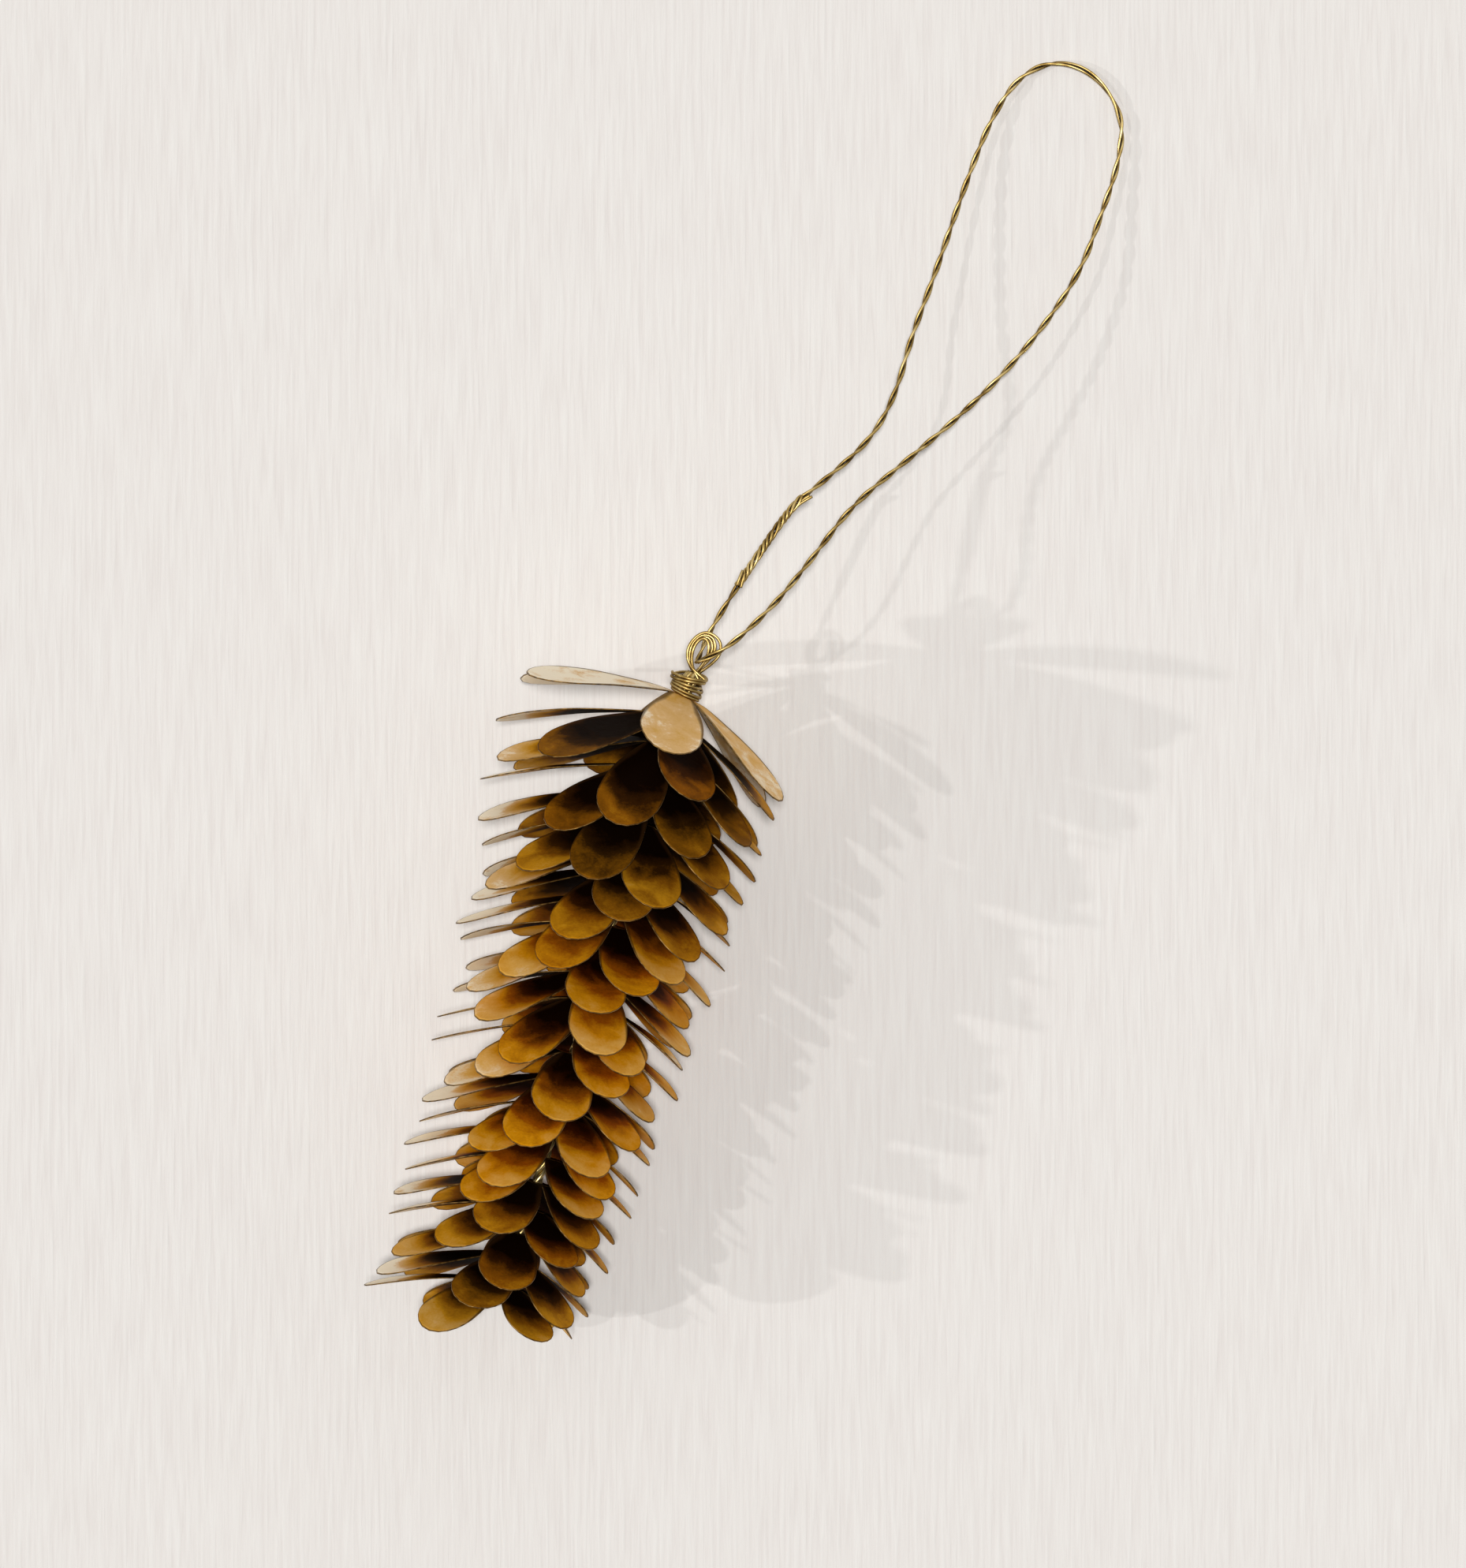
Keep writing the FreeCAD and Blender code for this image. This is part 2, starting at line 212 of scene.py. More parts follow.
# Painted shade: each wire is mixed towards dark brown #3A2810 on the side that faces its bundle's middle;
# wires without a middle are a fifth of the way to it all round.
groove = node(tree, "ShaderNodeAttribute", attribute_name="groove")
painted_groove_shade = node(tree, "ShaderNodeMapRange", {"Value": groove.outputs["Fac"]},
              {"From Min": -0.2, "From Max": 0.7, "To Min": 0.0, "To Max": 0.9})
coloured = node(tree, "ShaderNodeMix",
                {MIX_FACTOR: painted_groove_shade.outputs["Result"], MIX_A: tarnish.outputs["Color"]},
                {MIX_B: linear("#3A2810")}, data_type="RGBA")
tree.links.new(coloured.outputs[MIX_RESULT], shader.inputs["Base Color"])
rough = node(tree, "ShaderNodeMapRange", {"Value": patches.outputs["Fac"]}, {"To Min": 0.45, "To Max": 0.28})
tree.links.new(rough.outputs["Result"], shader.inputs["Roughness"])

core_line, core_run = evenly(smooth_route(CORE_ROUTE), CORE_STEP)
core_line = core_line[core_run <= CORE_LENGTH]
core_run = core_run[core_run <= CORE_LENGTH]
core_strands = []
for start in 2 * math.pi * np.arange(CORE_STRANDS) / CORE_STRANDS:
    touching = CORE_STRAND_RADIUS * 2 / math.sqrt(3)
    laid = laid_strand(core_line, touching, start + 2 * math.pi * core_run / CORE_LAY)
    core_strands.append((laid, CORE_STRAND_RADIUS, core_line))
core = wire_piece("core_strands", core_strands, wire_brass)
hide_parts("core_wire")
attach(core, "cone")

# Eye: the core's brass wires bent round by hand into a teardrop, side by side on its left and fanned
# out on its right. They cross over each other where they go down into the neck, clear of the hanger.

WIRE_RADIUS = 0.33
EYE_STEP = 0.18
SEAT_REACH = 0.5


def core_seat(distance):
    """A point on the core, with the directions up from it, right of it and back along it. Back goes
    from the point one reach further on to the point one reach before."""
    spots = [distance - SEAT_REACH, distance, distance + SEAT_REACH]
    behind, point, ahead = np.stack([np.interp(spots, core_run, core_line[:, k]) for k in range(3)], 1)
    back = (behind - ahead) / np.linalg.norm(behind - ahead)
    up = np.array([0.0, 0.0, 1.0]) - back * back[2]
    up /= np.linalg.norm(up)
    return point, up, np.cross(back, up), back


def on_neck(points):
    """Points given as (height, across, along the neck), turned into their places."""
    _, up, right, back = core_seat(SEAT_REACH)
    height, across, along = np.array(points, float).T
    return np.array(CORE_ROUTE[0]) + height[:, None] * up + across[:, None] * right + along[:, None] * back


EYE_STRANDS = [
    [(0.9, 3.1, 0.7), (0.9, 1.0, 1.2), (0.8, -0.8, 1.8), (0.6, -2.3, 3.0), (0.5, -3.2, 4.8), (0.4, -3.1, 7.0),
     (0.4, -2.3, 8.8), (0.45, -1.1, 9.8), (0.4, 0.5, 9.9), (0.3, 2.1, 9.3), (0.3, 3.0, 8.0), (0.3, 3.3, 6.5),
     (0.2, 2.8, 4.8), (-0.1, 2.0, 3.1), (-0.5, 1.2, 1.7), (-0.9, 0.6, 0.1), (-1.2, 0.2, -1.3)],
    [(0.4, 2.6, 0.4), (0.4, 0.5, 1.2), (0.2, -1.2, 2.2), (0.0, -2.3, 3.8), (0.0, -2.8, 5.6), (0.0, -2.6, 7.5),
     (0.0, -1.7, 8.9), (-0.05, -0.4, 9.4), (-0.05, 0.8, 9.1), (-0.05, 1.8, 7.9), (-0.05, 2.1, 6.3),
     (-0.2, 1.7, 4.6), (-0.6, 1.1, 3.0), (-1.0, 0.5, 1.1), (-1.3, 0.1, -0.6)],
    [(-0.2, 2.1, 0.1), (-0.2, 0.2, 1.0), (-0.4, -1.5, 2.2), (-0.6, -2.4, 3.7), (-0.6, -2.9, 5.6),
     (-0.6, -2.5, 7.5), (-0.5, -1.6, 8.6), (-0.5, -0.5, 8.9), (-0.5, 0.4, 8.6), (-0.5, 1.3, 7.5),
     (-0.5, 1.6, 6.0), (-0.6, 1.4, 4.6), (-0.8, 1.0, 3.0), (-1.1, 0.3, 1.2), (-1.4, -0.1, -0.5)],
    [(0.8, 1.8, 0.1), (0.8, 0.2, 1.2), (0.6, -1.0, 2.5), (0.45, -1.8, 4.0), (0.4, -2.2, 5.7),
     (0.3, -2.0, 7.4), (0.1, -1.2, 8.4), (0.1, -0.3, 8.3), (0.1, 0.6, 7.3), (0.0, 1.1, 5.7),
     (-0.2, 1.1, 4.0), (-0.5, 0.8, 2.4), (-0.8, 0.2, 0.6), (-1.0, -0.1, -0.8)],
]
eye_strands = [(evenly(smooth_route(on_neck(route)), EYE_STEP)[0], WIRE_RADIUS) for route in EYE_STRANDS]
eye = wire_piece("eye_strands", eye_strands, wire_brass)
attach(eye, "cone")

# Neck: the same brass wires gathered straight into the top rosette, with a tail wound round them by
# hand. Each turn goes from a left end over the front, a little lower, to a right end, and back behind
# the gathered wires, a little higher.

NECK_STRANDS = 7
NECK_STRAND_RADIUS = WIRE_RADIUS + 0.17
NECK_RING = 1.3
NECK_STEP = 0.3
GATHERED_REACH = [0.55, 0.9, 1.0, 1.0, 0.8]
GATHERED_ALONG = [0.9, 0.0, -1.4, -3.0, -4.6]
GATHERED_TWIST = [0.5, 0.3, 0.15, 0.0, -0.1]
WRAP_LEFT = [(-3.9, -0.7), (-3.7, -1.5), (-2.9, -1.8), (-3.0, -2.3), (-3.0, -2.9), (-2.5, -3.6)]
WRAP_RIGHT = [(3.2, 0.8), (3.1, 0.1), (2.8, -1.3), (3.4, -1.9), (3.6, -3.0), (3.6, -3.6)]
WRAP_TURNS = 5.45
WRAP_POINTS = 400
WRAP_STEP = 0.2
WRAP_DEPTH = 2.6
LOWER_IN_FRONT = 0.4
HIGHER_BEHIND = 1.2

neck_strands = []
for strand in range(NECK_STRANDS):
    reach = NECK_RING * np.array(GATHERED_REACH)
    twist = 2 * math.pi * strand / NECK_STRANDS + np.array(GATHERED_TWIST)
    route = np.stack([reach * np.cos(twist), reach * np.sin(twist), GATHERED_ALONG], 1)
    neck_strands.append((evenly(smooth_route(on_neck(route)), NECK_STEP)[0], NECK_STRAND_RADIUS))
neck = wire_piece("neck_strands", neck_strands, wire_brass)
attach(neck, "cone")


def end_places(turns, ends):
    """Where the turns' ends would be at any part of a turn: straight from each end to the next."""
    ends = np.array(ends)
    return np.stack([np.interp(turns, np.arange(len(ends)), ends[:, k]) for k in range(2)], 1)


turns = np.linspace(0.0, WRAP_TURNS, WRAP_POINTS)
left = end_places(turns, WRAP_LEFT)
right = end_places(turns - 0.5, WRAP_RIGHT)
flat = (left + right) / 2 + (left - right) / 2 * np.cos(2 * math.pi * turns)[:, None]
lift = np.sin(2 * math.pi * turns)
flat[:, 1] -= np.where(lift > 0, LOWER_IN_FRONT, HIGHER_BEHIND) * lift
wrap_line = on_neck(np.column_stack([WRAP_DEPTH * lift, flat]))
wrap = wire_piece("neck_turns", [(evenly(wrap_line, WRAP_STEP)[0], WIRE_RADIUS)], wire_brass)
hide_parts("neck_wrap")
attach(wrap, "cone")

# Rosettes: 24 pieces of brass sheet a quarter of a millimetre thick, each stamped with six petals
# round a six-sided hub, cupped a little, folded down at the hub and threaded on the core. Those that
# the cone lies on are pressed flat against the board.

ROSETTES = 24
PETALS = 6
PITCH = 5.53
FIRST_ROSETTE = 4.5
SHEET = 0.25
HUB = 3.6
BORE = 1.25
HUB_RINGS = [0.0, 0.4, 1.0]
LENGTH_TOP = 34.8
LENGTH_MIDDLE = 28.6
LENGTH_BOTTOM = 24.5
LENGTH_SCATTER = 0.9
SIDE_TOP = 0.09
SIDE_BOTTOM = 0.20
WIDTH_TOP = 13.4
WIDTH_BOTTOM = 12.0
WIDEST = 0.70
DROOP = 20.0
DROOP_SCATTER = 2.0
DROOP_FRONT = 10.0
DROOP_UNDER = 9.0
LIFT_TOP_LEFT = 9.0
LIFT_TOP_FRONT = 9.0
STEEPEST = 85.0
PRESS_STEP = 0.5
CURL = math.tan(math.radians(7))
CURL_FROM = 0.5
CURL_BLEND = 4.0
CUP = 0.55
CUP_LEVEL = 0.4
CUP_LEAST, CUP_MOST = 0.4, 1.4
TWIST_MOST = 2.5
ROOT_BEND = 1.6
WELD_REACH = 0.002

# The first petal of each rosette, from the top down: how many degrees it is turned to the right of
# straight up towards the camera, and how many degrees more it leans down, both read off.
FRONT_TURNS = [
    3, 20, -5, -32, -14, 17, 3, -16, -22, 18, 2, 10,
    -30, 21, 0, -13, 27, -22, 31, -15, 25, 0, -12, 31,
]
FRONT_LEANS = [
    -6, -8, 0, 0, 5, 2, -2, -1, 5, -6, -5, 1,
    5, -6, -1, 2, 0, 0, -8, -2, -8, 0, -4, -3,
]

# A petal's grid: parts of the way from hub to tip, closer near both ends, and from side to side.
ALONG = np.array([0, 0.03, 0.07, 0.13, 0.2, 0.28, 0.37, 0.46, 0.55, 0.64, 0.73, 0.81, 0.88, 0.94, 0.975, 1.0])
ACROSS = np.sin(np.radians([-90, -80, -68, -54, -38, -20, 0, 20, 38, 54, 68, 80, 90]))
TIP = WIDEST + (1 - WIDEST) * np.sqrt(1 - ACROSS**2)


def scatter(first, second):
    """A number from -1 to 1 that looks drawn by chance: the sine of two large shares of its counts."""
    return math.sin(12.99 * first + 78.23 * second + 1.7)


def petal_size(rosette, petal, rightward):
    """Length and width: a parabola down the cone, shorter on the right side, with an even scatter."""
    down = rosette / (ROSETTES - 1)
    length = LENGTH_TOP * (1 - down) * (1 - 2 * down) + 4 * LENGTH_MIDDLE * down * (1 - down)
    length += LENGTH_BOTTOM * down * (2 * down - 1)
    length *= 1 - (SIDE_TOP + (SIDE_BOTTOM - SIDE_TOP) * down**2) * rightward
    length += LENGTH_SCATTER * scatter(petal, rosette)
    return length, WIDTH_TOP + (WIDTH_BOTTOM - WIDTH_TOP) * down


def petal_grid(length, width, droop, cup, twist):
    """A petal on a grid of (along, across): its side widens as a quarter of a sine and its tip is half
    an ellipse. It falls at the fold by the droop, then by a curl that comes in as a hyperbola, is
    cupped as the square of across, and leans about its own middle line."""
    root = HUB * math.tan(math.pi / PETALS)
    half = root + (width / 2 - root) * np.sin(math.pi / 2 * ALONG)
    out = np.outer(ALONG, TIP) * (length - HUB)
    side = np.outer(half, ACROSS)
    past = out - CURL_FROM * (length - HUB)
    fall = CURL * (past + np.sqrt(past**2 + CURL_BLEND**2)) / 2
    cupped = cup * ALONG[:, None] * (ACROSS[None] ** 2 - CUP_LEVEL)
    rise = -fall + cupped + math.tan(twist) * side * ALONG[:, None]
    settled = np.sqrt(out**2 + ROOT_BEND**2) - ROOT_BEND
    flat = out - settled
    sine, cosine = math.sin(math.radians(droop)), math.cos(math.radians(droop))
    reach = HUB + flat + settled * cosine + rise * sine
    return np.stack([reach, side, SHEET / 2 - settled * sine + rise * cosine], -1)


def hub_grid():
    """The hub on a grid of (outwards, round): from the bore's circle to the six-sided edge."""
    flat = HUB * math.tan(math.pi / PETALS) * ACROSS[:-1]
    edge = []
    for turn in 2 * math.pi * np.arange(PETALS) / PETALS:
        sine, cosine = math.sin(turn), math.cos(turn)
        edge.append(np.stack([HUB * cosine - flat * sine, HUB * sine + flat * cosine], 1))
    edge = np.vstack(edge)
    bore = edge / np.linalg.norm(edge, axis=1)[:, None] * BORE
    share = np.array(HUB_RINGS)[:, None, None]
    ring = bore[None] * (1 - share) + edge[None] * share
    return np.concatenate([ring, np.full(ring.shape[:2] + (1,), SHEET / 2)], -1)


def turned(grid, turn):
    """The grid turned about the core: (x cos - y sin, x sin + y cos)."""
    sine, cosine = math.sin(turn), math.cos(turn)
    x, y, z = np.moveaxis(grid, -1, 0)
    return np.stack([x * cosine - y * sine, x * sine + y * cosine, z], -1)


def placed(grid, seat):
    """The grid moved to its seat: its three shares go up, right and back from the seat's point."""
    point, up, right, back = seat
    return point + grid[..., :1] * up + grid[..., 1:2] * right + grid[..., 2:] * back


def pressed_petal(length, width, droop, cup, twist, turn, seat):
    """The petal in its place, with as many half degrees more of droop as keep it off the board."""
    for pressed in np.arange(droop, STEEPEST, PRESS_STEP):
        grid = placed(turned(petal_grid(length, width, pressed, cup, twist), turn), seat)
        if grid[..., 2].min() >= SHEET / 2:
            break
    grid[..., 2] = np.maximum(grid[..., 2], SHEET / 2)
    return grid


# Rolled brass sheet coloured with a torch and left to tarnish. The eye gets a satin face in amber where
# it was hot and in olive brown where it wasn't, with soft clouds and a thin dark line inside the cut
# edge. Painted shade makes each petal near black at the root and paler to the tip, and a painted
# highlight makes the tips of petals that point sideways paler still. The specks are as coarse as it
# takes to show them.
BLOTCH = 6.0
SPECK = 0.5
sheet_brass = bpy.data.materials.new("tarnished_brass_sheet")
sheet_brass.use_nodes = True
tree = sheet_brass.node_tree
shader = tree.nodes["Principled BSDF"]
shader.inputs["Metallic"].default_value = 0.25
shader.inputs["Specular IOR Level"].default_value = 0.0
place = node(tree, "ShaderNodeTexCoord").outputs["Object"]
tone_with_painted_light = node(tree, "ShaderNodeAttribute", attribute_name="tone_with_painted_light")
warmth = node(tree, "ShaderNodeAttribute", attribute_name="warmth")
edge = node(tree, "ShaderNodeAttribute", attribute_name="edge")
blotches = node(tree, "ShaderNodeTexNoise", {"Vector": place},
                {"Scale": 1000 / BLOTCH, "Detail": 4.0, "Distortion": 0.6})
specks = node(tree, "ShaderNodeTexNoise", {"Vector": place}, {"Scale": 1000 / SPECK, "Detail": 3.0})
shift = node(tree, "ShaderNodeMapRange", {"Value": blotches.outputs["Fac"]},
             {"From Min": 0.3, "From Max": 0.7, "To Min": -0.11, "To Max": 0.11})
fine = node(tree, "ShaderNodeMapRange", {"Value": specks.outputs["Fac"]},
            {"From Min": 0.3, "From Max": 0.7, "To Min": -0.03, "To Max": 0.03})
clouded = node(tree, "ShaderNodeMath", {0: tone_with_painted_light.outputs["Fac"], 1: shift.outputs["Result"]}, operation="ADD")
mottled_tone_with_painted_light = node(tree, "ShaderNodeMath", {0: clouded.outputs[0], 1: fine.outputs["Result"]}, operation="ADD")
amber = node(tree, "ShaderNodeValToRGB", {"Fac": mottled_tone_with_painted_light.outputs[0]},
             stops=[(0.0, "#160601"), (0.2, "#461C03"), (0.42, "#9E5206"), (0.62, "#DC940E"),
                    (0.84, "#F0BA5C"), (1.0, "#FFEBC8")])
olive = node(tree, "ShaderNodeValToRGB", {"Fac": mottled_tone_with_painted_light.outputs[0]},
             stops=[(0.0, "#120702"), (0.2, "#382006"), (0.42, "#8E5A0E"), (0.62, "#CC901C"),
                    (0.74, "#D8A650"), (0.9, "#E6BE84"), (1.0, "#FFF2D8")])
face = node(tree, "ShaderNodeMix",
            {MIX_FACTOR: warmth.outputs["Fac"], MIX_A: olive.outputs["Color"], MIX_B: amber.outputs["Color"]},
            data_type="RGBA")
rim = node(tree, "ShaderNodeMapRange", {"Value": edge.outputs["Fac"]},
           {"From Min": 0.12, "From Max": 0.34, "To Min": 0.75, "To Max": 0.0})
coloured = node(tree, "ShaderNodeMix", {MIX_FACTOR: rim.outputs["Result"], MIX_A: face.outputs[MIX_RESULT]},
                {MIX_B: linear("#3B240E")}, data_type="RGBA")
tree.links.new(coloured.outputs[MIX_RESULT], shader.inputs["Base Color"])
rough = node(tree, "ShaderNodeMapRange", {"Value": specks.outputs["Fac"]}, {"To Min": 0.36, "To Max": 0.55})
tree.links.new(rough.outputs["Result"], shader.inputs["Roughness"])
bump = node(tree, "ShaderNodeBump", {"Height": blotches.outputs["Fac"]},
            {"Strength": 0.35, "Distance": 0.0006})
tree.links.new(bump.outputs["Normal"], shader.inputs["Normal"])

# Brass sheet sheared by the stamp: bare at its cut edge and worn brown in places. The eye gets a thin
# bright line round a petal where the edge faces the light.
NICKS_PER_METRE = 900.0
edge_brass = bpy.data.materials.new("sheared_brass_edge")
edge_brass.use_nodes = True
tree = edge_brass.node_tree
shader = tree.nodes["Principled BSDF"]
shader.inputs["Metallic"].default_value = 0.8
shader.inputs["Roughness"].default_value = 0.5
place = node(tree, "ShaderNodeTexCoord").outputs["Object"]
nicks = node(tree, "ShaderNodeTexNoise", {"Vector": place}, {"Scale": NICKS_PER_METRE, "Detail": 2.0})
worn = node(tree, "ShaderNodeValToRGB", {"Fac": nicks.outputs["Fac"]},
            stops=[(0.35, "#4A3416"), (0.65, "#96733C")])
tree.links.new(worn.outputs["Color"], shader.inputs["Base Color"])

# Down the cone, as (rosette, value): how amber the sheet is, and how pale, both from 0 to 1.
WARMTH_DOWN = [(0, 0.1), (1, 0.1), (6, 0.1), (8, 0.7), (10, 1.0), (18, 1.0), (19, 0.45), (23, 0.25)]
PALE_DOWN = [
    (0, 0.80), (1, 0.18), (4, 0.26), (7, 0.38), (9, 0.49),
    (12, 0.48), (17, 0.46), (19, 0.29), (22, 0.29), (23, 0.47),
]
PALE_SCATTER = 0.12
WARMTH_SCATTER = 0.3
LESS_WARM_LEFT = 0.4
# The top rosette: a slight painted shade towards the root, and a painted highlight on petals that point
# sideways.
TOP_SLOPE = 0.1
TOP_MIDDLE = 0.6
TOP_SIDES_PAINTED_HIGHLIGHT = 0.26
# Painted shade: how much darker a petal's root is, how much paler its tip, and where between them it fades.
ROOT_PAINTED_SHADE = 0.48
ROOT_TO_TIP = 0.66
ROOT_END = 0.36
ROOT_FADE = 0.50
# Painted highlight at the tips of petals that point sideways: where it starts, how it fades, and how much on
# the left and on the right.
TIP_START = 0.5
TIP_FADE = 0.35
LEFT_TIPS_PAINTED_HIGHLIGHT = 0.66
RIGHT_TIPS_PAINTED_HIGHLIGHT = 0.2
# Painted shade on the hub, under the petals' roots.
HUB_PAINTED_SHADE = 0.25
FAR_FROM_EDGE = 9.0
NARROWEST_AT = 0.3


def down_the_cone(rosette, stops):
    """The value at a rosette, straight between the stops."""
    places, values = np.array(stops, float).T
    return np.interp(rosette, places, values)


def painted_root_shade_and_tip_highlight(rosette, rightward):
    """How much paler each row of a petal is than its rosette: a painted shade, dark at the root and straight
    up to the tip, then a painted highlight, paler at the tip by the fourth power of how far it points
    sideways, most on the left. The top rosette is nearly even, a little darker towards the root by painted
    shade, and paler by a painted highlight by the square of how far a petal points sideways."""
    if rosette == 0:
        return TOP_SLOPE * (ALONG - TOP_MIDDLE) + TOP_SIDES_PAINTED_HIGHLIGHT * rightward**2
    from_root = np.clip((ALONG - ROOT_END) / ROOT_FADE, 0, 1)
    near_tip = np.clip((ALONG - TIP_START) / TIP_FADE, 0, 1)
    sideways = LEFT_TIPS_PAINTED_HIGHLIGHT if rightward < 0 else RIGHT_TIPS_PAINTED_HIGHLIGHT
    return ROOT_TO_TIP * from_root - ROOT_PAINTED_SHADE + sideways * rightward**4 * near_tip


def edge_distance(length, width):
    """Millimetres to the cut edge: the lesser of what is left to the tip and what is left to the side,
    where the side widens as a squared sine."""
    to_tip = np.outer(1 - ALONG, TIP * (length - HUB))
    half = width / 2 * np.sin(math.pi / 2 * np.maximum(ALONG, NARROWEST_AT)) ** 2
    return np.minimum(to_tip, np.outer(half, 1 - abs(ACROSS)))


chance = np.random.default_rng(7)
for rosette in range(ROSETTES):
    seat = core_seat(FIRST_ROSETTE + rosette * PITCH)
    first = math.radians(FRONT_TURNS[rosette])
    hub = turned(hub_grid(), first)
    points = placed(hub, seat).reshape(-1, 3)
    faces = grid_faces(*hub.shape[:2], 0, True)
    warm_here = down_the_cone(rosette, WARMTH_DOWN)
    pale_here = down_the_cone(rosette, PALE_DOWN)
    tones_with_painted_light = [np.full(len(points), pale_here - HUB_PAINTED_SHADE)]
    warmths = [np.full(len(points), warm_here)]
    edges = [np.full(len(points), FAR_FROM_EDGE)]
    for petal in range(PETALS):
        turn = first + 2 * math.pi * petal / PETALS
        up, rightward = math.cos(turn), math.sin(turn)
        length, width = petal_size(rosette, petal, rightward)
        droop = DROOP + DROOP_SCATTER * scatter(rosette, petal)
        droop += DROOP_FRONT * max(0, up) + DROOP_UNDER * max(0, -up)
        if rosette == 0:
            droop -= LIFT_TOP_LEFT * max(0, -rightward) + LIFT_TOP_FRONT * max(0, up)
        if petal == 0:
            droop += FRONT_LEANS[rosette]
        cup = CUP * chance.uniform(CUP_LEAST, CUP_MOST)
        twist = math.radians(chance.uniform(-TWIST_MOST, TWIST_MOST))
        grid = pressed_petal(length, width, droop, cup, twist, turn, seat)
        faces += grid_faces(*grid.shape[:2], len(points), False)
        points = np.vstack([points, grid.reshape(-1, 3)])
        tone = pale_here + chance.uniform(-PALE_SCATTER, PALE_SCATTER)
        # Each row's tone, with the painted shade at the root and the painted highlight at sideways tips.
        tones_with_painted_light.append(np.repeat(tone + painted_root_shade_and_tip_highlight(rosette, rightward), len(ACROSS)))
        warm = warm_here + chance.uniform(-WARMTH_SCATTER, WARMTH_SCATTER)
        warm -= LESS_WARM_LEFT * min(0, rightward)**2
        warmths.append(np.full(len(tones_with_painted_light[-1]), np.clip(warm, 0, 1)))
        edges.append(edge_distance(length, width).ravel())
    piece = new_piece("rosette_%02d" % (rosette + 1), points, faces, sheet_brass)
    piece.data.materials.append(edge_brass)
    for name, values in (("tone_with_painted_light", tones_with_painted_light), ("warmth", warmths), ("edge", edges)):
        piece.data.attributes.new(name, "FLOAT", "POINT").data.foreach_set("value", np.concatenate(values))
    weld = piece.modifiers.new("weld", "WELD")
    weld.merge_threshold = WELD_REACH * MILLIMETRE
    sheet = piece.modifiers.new("sheet", "SOLIDIFY")
    sheet.thickness = SHEET * MILLIMETRE
    sheet.offset = 0.0
    sheet.material_offset_rim = 1
    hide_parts("whorl_%02d" % (rosette + 1))
    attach(piece, "cone")

# Hanger: one length of brass wire doubled and twisted by hand, led through the eye and bent into a
# long loop whose far end rests on the board. The twist opens out where it was bent round there.

HANGER_ROUTE = [
    (11.4, 42.4, 20.0), (19.6, 48.9, 17.4), (26.7, 56.1, 14.6), (31.1, 64.9, 12.1), (34.1, 76.0, 9.6),
    (38.5, 87.7, 7.1), (42.7, 99.9, 4.8), (46.9, 112.0, 2.9), (51.2, 122.6, 1.6), (56.7, 131.1, 0.9),
    (64.7, 134.6, 0.7), (73.0, 131.6, 0.7), (78.8, 122.7, 0.7), (77.6, 112.4, 1.4), (73.6, 101.0, 3.0),
    (69.8, 90.6, 4.9), (62.9, 79.9, 7.2), (53.6, 68.6, 10.1), (43.2, 58.7, 13.2), (32.3, 49.6, 16.6),
    (21.5, 40.6, 20.2), (13.7, 30.1, 23.3), (5.5, 19.9, 27.7), (-4.2, 10.9, 31.1),
]
HANGER_BACK = [(-8.3, 13.7, 27.0), (-4.4, 20.2, 25.9), (-2.0, 24.0, 25.0)]
CROSSING_ACROSS = -0.2
CROSSING_ALONG = 3.3
CROSSING_HEIGHT = 1.62
HANGER_STEP = 0.45
HANGER_STRAND_RADIUS = WIRE_RADIUS - 0.01
TWIST_LENGTH = 12.0
OPEN_FROM = 112.0
OPEN_TO = 128.0
OPEN_RATE = 0.35

crossing = on_neck([(0.0, CROSSING_ACROSS, CROSSING_ALONG)])[0]
through = [crossing + (0, 0, CROSSING_HEIGHT), crossing - (0, 0, CROSSING_HEIGHT)]
hanger_line, hanger_run = evenly(smooth_route(HANGER_ROUTE + through + HANGER_BACK), HANGER_STEP)
rate = np.where((hanger_run > OPEN_FROM) & (hanger_run < OPEN_TO), OPEN_RATE, 1.0)
phase = np.cumsum(2 * math.pi / TWIST_LENGTH * rate * np.gradient(hanger_run))
hanger_strands = []
for start in (0, math.pi):
    laid = laid_strand(hanger_line, WIRE_RADIUS, phase + start)
    hanger_strands.append((laid, HANGER_STRAND_RADIUS, hanger_line))
hanger = wire_piece("hanger_pair", hanger_strands, wire_brass)
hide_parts("hanger_wire")
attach(hanger, "hanger")

# Splice: the hanger's two ends lie side by side and are wound round each other by hand, four brass
# wires in one rope of uneven lay. Two cut ends stand out at its top and two at its bottom.

SPLICE_LEAD = 3.0
SPLICE_LAY = 7.5
SPLICE_REACH = 0.55
SPLICE_STRANDS = 4
SPLICE_STEP = 0.25
UNEVEN_BY = 0.35
UNEVEN_RATE = 0.9
CUT_END_RADIUS = WIRE_RADIUS - 0.02
CUT_ENDS = [
    [(9.6, 39.9, 20.6), (10.6, 40.9, 20.8), (12.0, 41.8, 20.9), (13.4, 42.6, 21.0)],
    [(9.3, 40.1, 20.2), (10.6, 41.2, 20.3), (11.9, 42.3, 20.4), (12.9, 42.8, 20.4)],
    [(-1.0, 27.2, 25.2), (-1.5, 26.0, 25.5), (-1.9, 25.0, 25.6), (-2.2, 24.0, 25.6)],
    [(-0.6, 26.6, 25.0), (-1.0, 25.4, 25.2), (-1.2, 24.5, 25.2), (-1.4, 23.6, 25.2)],
]
low_before, low_end = np.array(HANGER_BACK[-2:])
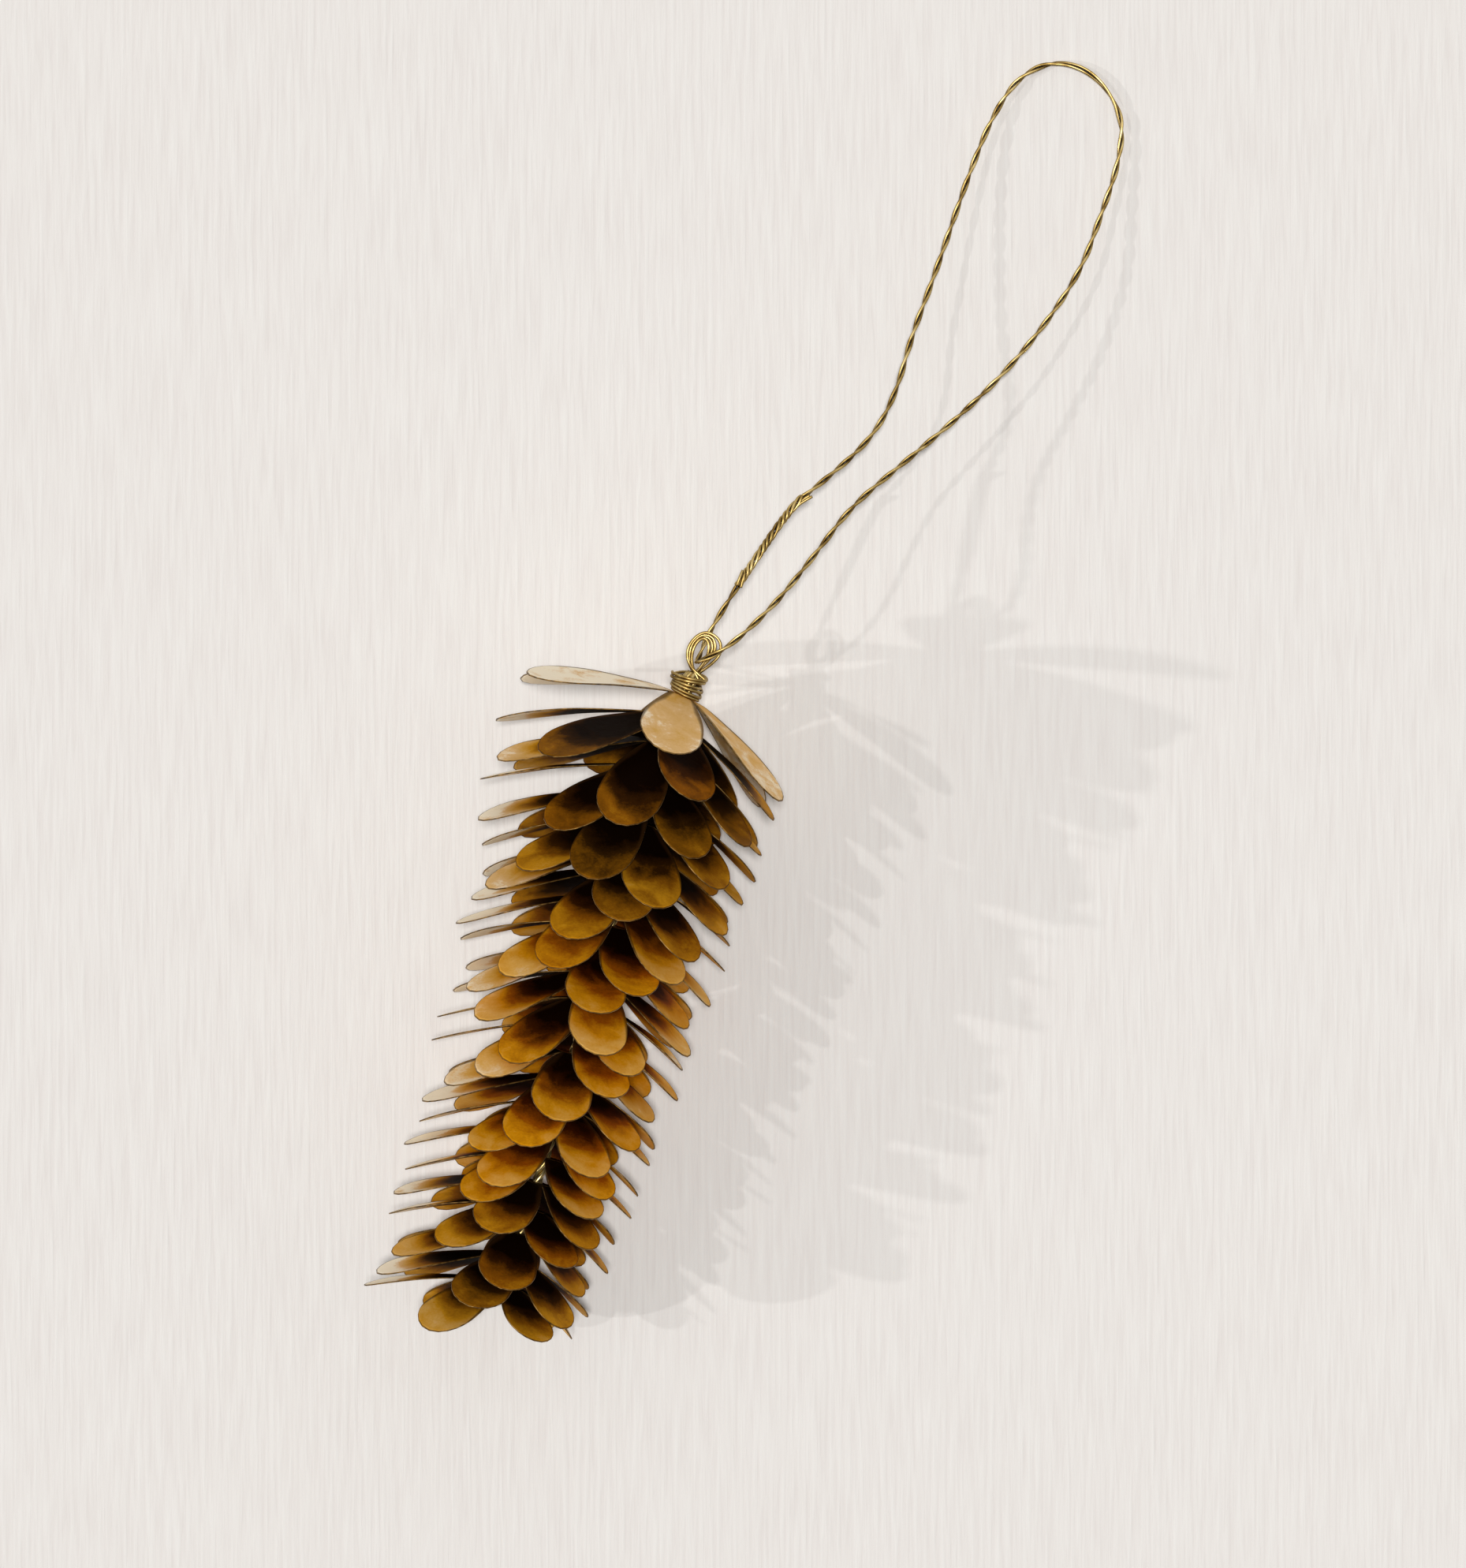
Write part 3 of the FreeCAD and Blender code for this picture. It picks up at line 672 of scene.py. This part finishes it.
high_end, high_after = np.array(HANGER_ROUTE[:2])
low_lead = low_end + (low_end - low_before) / np.linalg.norm(low_end - low_before) * SPLICE_LEAD
high_lead = high_end - (high_after - high_end) / np.linalg.norm(high_after - high_end) * SPLICE_LEAD
splice_line, splice_run = evenly(smooth_route([low_end, low_lead, high_lead, high_end]), SPLICE_STEP)
splice_phase = -2 * math.pi * splice_run / SPLICE_LAY + UNEVEN_BY * np.sin(splice_run * UNEVEN_RATE)
splice_strands = []
for start in np.arange(SPLICE_STRANDS) * 2 * math.pi / SPLICE_STRANDS:
    laid = laid_strand(splice_line, SPLICE_REACH, splice_phase + start)
    splice_strands.append((laid, HANGER_STRAND_RADIUS, splice_line))
for route in CUT_ENDS:
    splice_strands.append((evenly(smooth_route(route), SPLICE_STEP)[0], CUT_END_RADIUS))
splice = wire_piece("splice_turns", splice_strands, wire_brass)
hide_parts("hanger_splice")
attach(splice, "hanger")

# Board: a flat wooden board under matt white emulsion paint, laid on with a wide brush. The eye gets
# faint streaks and ridges along the brush's way, drawn as coarse as it takes to show them.

BOARD_REACH = 3.0
BOARD_TOP = -0.0006
BRUSH_ACROSS = 0.9
BRUSH_ALONG = 18.0
corners = [(-1, -1), (1, -1), (1, 1), (-1, 1)]
corners = [(x * BOARD_REACH, y * BOARD_REACH, BOARD_TOP) for x, y in corners]
board_mesh = bpy.data.meshes.new("board")
board_mesh.from_pydata(corners, [], [(0, 1, 2, 3)])
board = bpy.data.objects.new("board", board_mesh)
scene.collection.objects.link(board)
paint = bpy.data.materials.new("matt_white_paint")
paint.use_nodes = True
tree = paint.node_tree
shader = tree.nodes["Principled BSDF"]
shader.inputs["Roughness"].default_value = 0.9
shader.inputs["Specular IOR Level"].default_value = 0.1
place = node(tree, "ShaderNodeTexCoord").outputs["Object"]
stretched = node(tree, "ShaderNodeMapping", {"Vector": place},
                 {"Scale": (1000 / BRUSH_ACROSS, 1000 / BRUSH_ALONG, 1)})
strokes = node(tree, "ShaderNodeTexNoise", {"Vector": stretched.outputs["Vector"]},
               {"Scale": 1.0, "Detail": 4.0, "Distortion": 0.3})
white = node(tree, "ShaderNodeValToRGB", {"Fac": strokes.outputs["Fac"]},
             stops=[(0.3, "#E6E0DB"), (0.5, "#EAE5E0"), (0.7, "#EDE9E4")])
tree.links.new(white.outputs["Color"], shader.inputs["Base Color"])
bump = node(tree, "ShaderNodeBump", {"Height": strokes.outputs["Fac"]}, {"Strength": 0.5, "Distance": 0.0004})
tree.links.new(bump.outputs["Normal"], shader.inputs["Normal"])
board_mesh.materials.append(paint)

# Light: a pale room, brighter overhead and on the hanger's side, which metal shows in full and matt
# surfaces get a share of; a soft lamp nearly straight above; and two lamps at the left, one above the
# other, which throw two shadows side by side.

ROOM_TOWARDS = (0.1, 0.7, 0.707)
ROOM_DARK_FROM = -0.3
ROOM_LEVEL = 1.15
ROOM_SHARE_ON_MATT = 0.3
world = bpy.data.worlds.new("pale_room")
scene.world = world
world.use_nodes = True
tree = world.node_tree
room = tree.nodes["Background"]
room.inputs["Color"].default_value = linear("#FFFFFF")
looked = node(tree, "ShaderNodeTexCoord").outputs["Generated"]
towards = node(tree, "ShaderNodeVectorMath", {0: looked}, {1: ROOM_TOWARDS}, operation="DOT_PRODUCT")
level = node(tree, "ShaderNodeMapRange", {"Value": towards.outputs["Value"]},
             {"From Min": ROOM_DARK_FROM, "To Max": ROOM_LEVEL})
ray = node(tree, "ShaderNodeLightPath")
share = node(tree, "ShaderNodeMapRange", {"Value": ray.outputs["Is Glossy Ray"]},
             {"To Min": ROOM_SHARE_ON_MATT})
lit = node(tree, "ShaderNodeMath", {0: level.outputs["Result"], 1: share.outputs["Result"]},
           operation="MULTIPLY")
shown = node(tree, "ShaderNodeMath", {0: lit.outputs[0], 1: ray.outputs["Is Camera Ray"]},
             operation="MAXIMUM")
tree.links.new(shown.outputs[0], room.inputs["Strength"])

# Each lamp's name, height and bearing in degrees, strength, and width in degrees.
LAMPS = [
    ("ceiling", 89, 63, 1.98, 5),
    ("window_high", 50, 182, 0.37, 1.2),
    ("window_low", 28, 188, 0.56, 1.0),
]
for name, height, bearing, strength, spread in LAMPS:
    light = bpy.data.lights.new(name, "SUN")
    light.energy = strength
    light.angle = math.radians(spread)
    lamp = bpy.data.objects.new(name, light)
    scene.collection.objects.link(lamp)
    up, round_it = math.radians(height), math.radians(bearing)
    towards = Vector((math.cos(round_it) * math.cos(up), math.sin(round_it) * math.cos(up), math.sin(up)))
    lamp.rotation_euler = towards.to_track_quat("Z", "Y").to_euler()

# Camera: straight above the board, with the whole photograph's width and height in the frame.

SCALE = 0.163
FRAME_WIDTH, FRAME_HEIGHT = 1859, 1988
ORIGIN_ACROSS, ORIGIN_DOWN = 948, 890
CAMERA_HEIGHT = 2000.0
SHARP_PLANE = 25.0
SENSOR = 36.0
lens = bpy.data.cameras.new("camera")
lens.sensor_width = SENSOR
lens.lens = (CAMERA_HEIGHT - SHARP_PLANE) * SENSOR / (FRAME_HEIGHT * SCALE)
lens.clip_end = 20
camera = bpy.data.objects.new("camera", lens)
scene.collection.objects.link(camera)
camera_x = (FRAME_WIDTH / 2 - ORIGIN_ACROSS) * SCALE
camera_y = (ORIGIN_DOWN - FRAME_HEIGHT / 2) * SCALE
camera.location = Vector((camera_x, camera_y, CAMERA_HEIGHT)) * MILLIMETRE
scene.camera = camera
